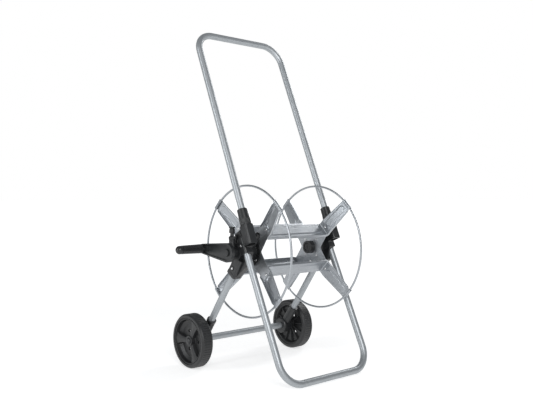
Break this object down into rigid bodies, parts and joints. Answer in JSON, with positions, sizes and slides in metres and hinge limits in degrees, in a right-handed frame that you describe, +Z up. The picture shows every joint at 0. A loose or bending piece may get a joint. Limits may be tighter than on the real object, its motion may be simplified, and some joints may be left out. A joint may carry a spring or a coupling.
{
  "type": "garden hose reel cart",
  "caption": "Two-wheeled tube-frame hose reel cart with an open steel drum, side crank, hose inlet and a tilted push handle that slides down for storage.",
  "frame": {"origin": "on the ground plane, under the middle of the whole object's bounding box", "axes": "+Z up, +Y from the foot towards the wheels, +X across the cart, away from the crank side"},
  "size_m": [0.5048, 0.4421, 0.981],
  "materials": {
    "tube_steel": "silver-grey powder-coated steel tube, satin",
    "galvanised_sheet": "pressed galvanised sheet and rim section, satin grey",
    "zinc_hardware": "bright zinc-plated fasteners and shafts",
    "frame_plastic": "moulded charcoal plastic, fine texture",
    "wheel_plastic": "moulded black wheel plastic with fine tread ribs",
    "grip_plastic": "smooth black plastic grip",
    "seal_rubber": "black rubber seal rings"
  },
  "bodies": {
    "frame": {"foot_tube": "tube_steel", "left_wheel_leg": "tube_steel", "right_wheel_leg": "tube_steel", "left_bracket": "frame_plastic", "right_bracket": "frame_plastic", "left_foot_screw": "zinc_hardware", "right_foot_screw": "zinc_hardware", "left_leg_screw": "zinc_hardware", "right_leg_screw": "zinc_hardware", "axle_tube": "tube_steel", "axle_rod": "zinc_hardware", "left_axle_cap": "frame_plastic", "right_axle_cap": "frame_plastic", "left_axle_bracket": "frame_plastic", "right_axle_bracket": "frame_plastic", "inlet_body": "frame_plastic", "inlet_nipple": "frame_plastic", "inlet_seal": "seal_rubber", "inner_shaft_seal": "seal_rubber", "outer_shaft_seal": "seal_rubber"},
    "handle": {"handle_tube": "tube_steel"},
    "left_collar": {"left_collar": "frame_plastic"},
    "right_collar": {"right_collar": "frame_plastic"},
    "left_wheel": {"left_wheel": "wheel_plastic"},
    "right_wheel": {"right_wheel": "wheel_plastic"},
    "grip": {"crank_grip": "grip_plastic"},
    "drum": {"crank_lever": "frame_plastic", "crank_screw": "zinc_hardware", "drum_shaft": "zinc_hardware", "front_lower_strip": "galvanised_sheet", "front_upper_strip": "galvanised_sheet", "grip_spindle": "zinc_hardware", "journal_clip": "frame_plastic", "left_centre_plate": "galvanised_sheet", "left_front_lower_arm_rivet": "zinc_hardware", "left_front_lower_hub_rivet": "zinc_hardware", "left_front_upper_arm_rivet": "zinc_hardware", "left_front_upper_hub_rivet": "zinc_hardware", "left_hub": "frame_plastic", "left_rear_lower_arm_rivet": "zinc_hardware", "left_rear_lower_hub_rivet": "zinc_hardware", "left_rear_upper_arm_rivet": "zinc_hardware", "left_rear_upper_hub_rivet": "zinc_hardware", "left_ring": "galvanised_sheet", "outlet_nozzle": "frame_plastic", "outlet_seal": "seal_rubber", "rear_lower_strip": "galvanised_sheet", "rear_upper_strip": "galvanised_sheet", "right_centre_plate": "galvanised_sheet", "right_front_lower_arm_rivet": "zinc_hardware", "right_front_lower_hub_rivet": "zinc_hardware", "right_front_upper_arm_rivet": "zinc_hardware", "right_front_upper_hub_rivet": "zinc_hardware", "right_hub": "frame_plastic", "right_journal": "frame_plastic", "right_rear_lower_arm_rivet": "zinc_hardware", "right_rear_lower_hub_rivet": "zinc_hardware", "right_rear_upper_arm_rivet": "zinc_hardware", "right_rear_upper_hub_rivet": "zinc_hardware", "right_ring": "galvanised_sheet"}
  },
  "joints": [
    {"name": "drum_spin", "type": "hinge", "parent": "frame", "child": "drum", "pos_m": [0.0376, -0.02509, 0.34], "axis": [1, 0, 0], "continuous": true},
    {"name": "grip_spin", "type": "hinge", "parent": "drum", "child": "grip", "pos_m": [-0.2074, 0.0848, 0.3448], "axis": [1, 0, 0], "continuous": true},
    {"name": "left_wheel_spin", "type": "hinge", "parent": "frame", "child": "left_wheel", "pos_m": [-0.1582, 0.14411, 0.077], "axis": [1, 0, 0], "continuous": true},
    {"name": "right_wheel_spin", "type": "hinge", "parent": "frame", "child": "right_wheel", "pos_m": [0.2334, 0.14411, 0.077], "axis": [1, 0, 0], "continuous": true},
    {"name": "handle_slide", "type": "slide", "parent": "frame", "child": "handle", "axis": [0, 0.3891, 0.9212], "range_m": [-0.2, 0]},
    {"name": "left_collar_turn", "type": "hinge", "parent": "frame", "child": "left_collar", "pos_m": [-0.1224, -0.04624, 0.43672], "axis": [0, 0.3891, 0.9212], "range_deg": [0, 60]},
    {"name": "right_collar_turn", "type": "hinge", "parent": "frame", "child": "right_collar", "pos_m": [0.1976, -0.04624, 0.43672], "axis": [0, 0.3891, 0.9212], "range_deg": [-60, 0]}
  ]
}
